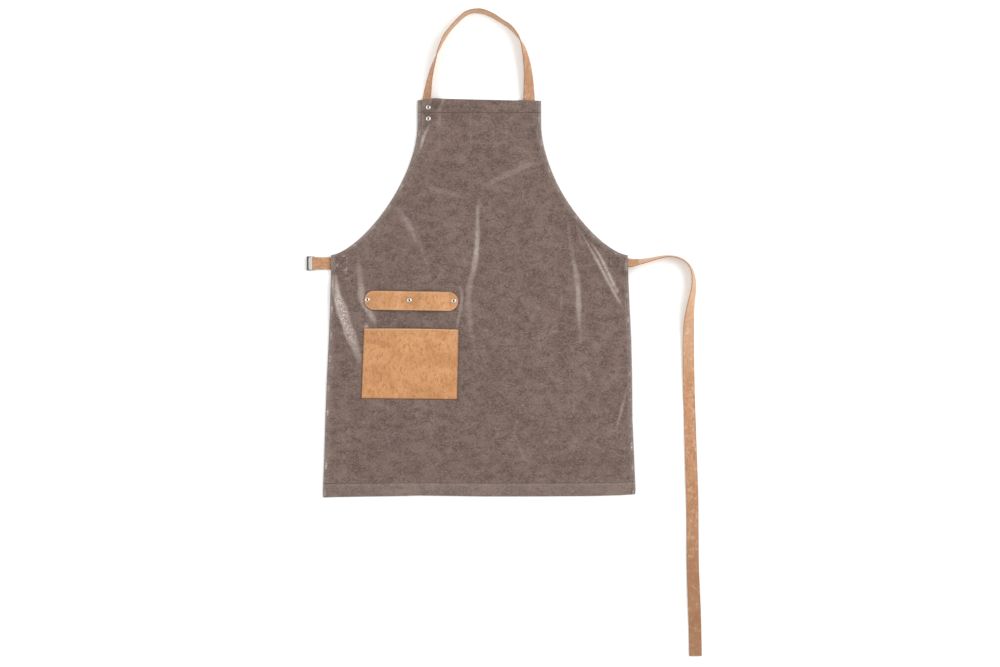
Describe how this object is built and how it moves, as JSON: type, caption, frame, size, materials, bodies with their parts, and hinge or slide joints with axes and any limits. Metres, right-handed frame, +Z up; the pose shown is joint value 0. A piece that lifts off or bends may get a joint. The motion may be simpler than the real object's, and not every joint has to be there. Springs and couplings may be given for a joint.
{
  "type": "grill apron",
  "caption": "Bib apron laid flat, with a neck strap, a long waist tie, a buckle tab with a ring, a patch pocket and a riveted tool band.",
  "frame": {"origin": "centre of the bottom of the whole object's box, on the surface that it lies on", "axes": "+Y from the hem towards the neck, +X to the wearer's left as the picture shows it from the front, +Z up out of the apron's front"},
  "size_m": [0.7932, 1.2944, 0.0235],
  "materials": {
    "panel_cloth": "aged coated cloth with a soft gloss",
    "tan_leather": "smooth tan, satin",
    "strap_leather": "smooth tan, satin",
    "nickel": "polished nickel plate"
  },
  "bodies": {
    "root": {"apron_panel": "panel_cloth", "neck_strap": "strap_leather", "waist_tie": "strap_leather", "buckle_tab": "strap_leather", "buckle_ring": "nickel", "pocket": "tan_leather", "tool_band": "tan_leather", "band_rivet_left": "nickel", "band_rivet_middle": "nickel", "band_rivet_right": "nickel", "neck_rivet_upper": "nickel", "neck_rivet_lower": "nickel"}
  },
  "joints": []
}
